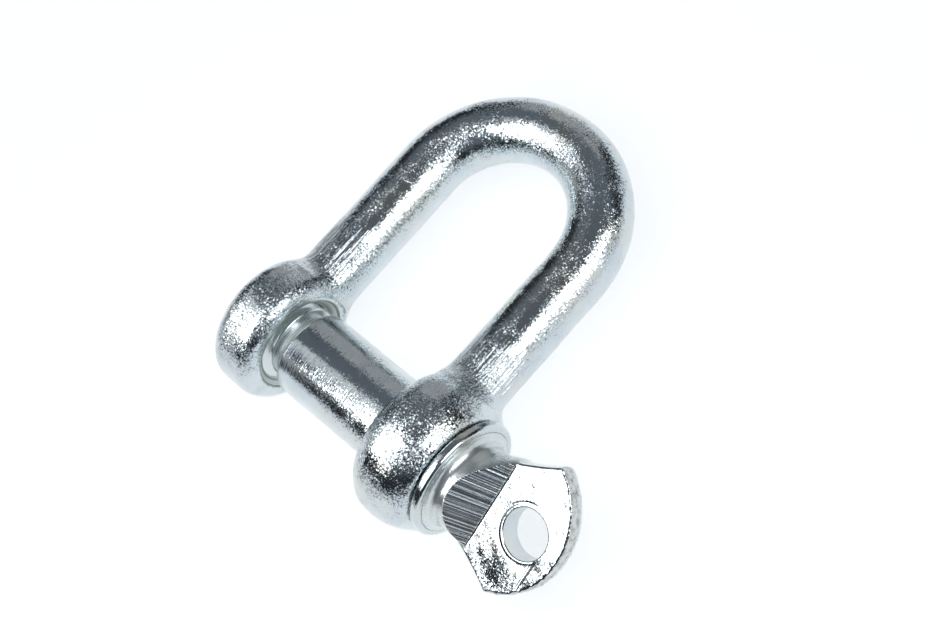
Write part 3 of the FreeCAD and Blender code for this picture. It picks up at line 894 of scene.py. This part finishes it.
class SHACKLE_OT_studio(bpy.types.Operator):
    """Sets up a plain pale floor, two softboxes, a quiet room and the camera"""
    bl_idname = "shackle.studio"
    bl_label = "Studio"

    def execute(self, context):
        self.floor(context, CAD_BOX[0][2])
        self.room(context)
        centre, distance = Vector((0.010, 0.018, 0.0)), 0.50
        # softboxes and dim cards shine in the metal, and a wide overhead light, out of its sight,
        # lights the floor. Each has its azimuth and height in degrees, size in metres and radiance.
        for name, azimuth, height, size, radiance in (
                ("softbox_front", -113, 51, (0.34, 0.385), 4.8),
                ("softbox_right", 20, 42, (0.33, 0.26), 4.6),
                ("card_front", -158, 56, (0.24, 0.30), 0.60),
                ("card_right", 21, 12, (0.36, 0.26), 0.90),
                ("card_back", 122, 18, (0.34, 0.34), 0.36),
                ("card_left", -150, 12, (0.32, 0.26), 0.36)):
            light = self.softbox(context, name, centre, azimuth, height, distance, size, radiance)
            light.visible_diffuse = False
        overhead = self.softbox(context, "overhead", centre, -60, 75, 0.9, (1.2, 1.2), 0.85)
        overhead.visible_glossy = False
        self.camera(context)
        context.scene.view_settings.view_transform = "Standard"
        return {"FINISHED"}

    def floor(self, context, height):
        half, top = 3.0 / MM, height / MM
        obj = mesh_object("floor", [(-half, -half, top), (half, -half, top), (half, half, top),
                                    (-half, half, top)], [(0, 1, 2, 3)])
        obj.data.materials.append(matt_board_with_painted_glow(context.scene.shackle_colours))

    def room(self, context):
        """A dim room: mid grey at the horizon, dark above it, and paler overhead."""
        world = bpy.data.worlds.new("room")
        context.scene.world = world
        world.use_nodes = True
        tree = world.node_tree
        tree.nodes.clear()
        way = add_node(tree, "TexCoord").outputs["Generated"]
        split = add_node(tree, "SeparateXYZ", Vector=way)
        ramp = add_node(tree, "ValToRGB", Fac=split.outputs["Z"])
        stops = ramp.color_ramp.elements
        stops[0].position, stops[0].color = 0.0, (0.050, 0.055, 0.066, 1)
        stops[1].position, stops[1].color = 1.0, (0.125, 0.13, 0.14, 1)
        cool = (0.86, 0.98, 1.13)
        for position, grey in ((0.12, 0.025), (0.40, 0.037), (0.60, 0.15), (0.82, 0.165)):
            stop = stops.new(position)
            stop.color = (*(grey * c for c in cool), 1)
        glow = add_node(tree, "Background", Color=ramp.outputs[0])
        add_node(tree, "OutputWorld", Surface=glow.outputs[0])

    def softbox(self, context, name, centre, azimuth, height, distance, size, radiance):
        """A flat light that faces centre. Its power follows from its size and radiance."""
        data = bpy.data.lights.new(name, "AREA")
        data.shape = "RECTANGLE"
        data.size, data.size_y = size
        data.energy = radiance * math.pi * size[0] * size[1]
        obj = bpy.data.objects.new(name, data)
        context.scene.collection.objects.link(obj)
        a, e = math.radians(azimuth), math.radians(height)
        way = Vector((math.cos(a) * math.cos(e), math.sin(a) * math.cos(e), math.sin(e)))
        obj.matrix_world = Matrix.Translation(centre + way * distance) @ \
            way.to_track_quat("Z", "Y").to_matrix().to_4x4()
        return obj

    def camera(self, context):
        data = bpy.data.cameras.new("camera")
        data.sensor_width, data.lens = 36.0, 85.16
        data.clip_start = 0.01
        azimuth, height, roll = (math.radians(a) for a in (75.75, 60.98, -35.7))
        back = Vector((math.sin(azimuth) * math.cos(height), -math.cos(azimuth) * math.cos(height),
                       math.sin(height)))
        level = Vector((math.cos(azimuth), math.sin(azimuth), 0))
        upright = back.cross(level)
        right = level * math.cos(roll) + upright * math.sin(roll)
        up = back.cross(right)
        aim, distance = Vector((0.00476, 0.01718, -0.00021)), 0.2863
        stand = aim + back * distance
        obj = bpy.data.objects.new("camera", data)
        context.scene.collection.objects.link(obj)
        rows = [(right[i], up[i], back[i], stand[i]) for i in range(3)]
        obj.matrix_world = Matrix([*rows, (0, 0, 0, 1)])
        context.scene.camera = obj


class SHACKLE_PT_panel(bpy.types.Panel):
    bl_label = "Dee shackle"
    bl_idname = "SHACKLE_PT_panel"
    bl_space_type = "VIEW_3D"
    bl_region_type = "UI"
    bl_category = "Dee shackle"

    def draw(self, context):
        for operator in PIECES:
            self.layout.operator(operator.bl_idname)
        for group in (context.scene.shackle_sizes, context.scene.shackle_colours):
            column = self.layout.column()
            for name in group.__annotations__:
                column.prop(group, name)


PIECES = (SHACKLE_OT_studio, SHACKLE_OT_bow, SHACKLE_OT_pin)
CLASSES = (ShackleSizes, ShackleColours, *PIECES, SHACKLE_PT_panel)


def register():
    for one in CLASSES:
        bpy.utils.register_class(one)
    bpy.types.Scene.shackle_sizes = PointerProperty(type=ShackleSizes)
    bpy.types.Scene.shackle_colours = PointerProperty(type=ShackleColours)


def unregister():
    del bpy.types.Scene.shackle_sizes
    del bpy.types.Scene.shackle_colours
    for one in reversed(CLASSES):
        bpy.utils.unregister_class(one)


def main():
    register()
    bpy.ops.shackle.studio()
    bpy.ops.shackle.bow()
    bpy.ops.shackle.pin()


if __name__ == "__main__":
    main()
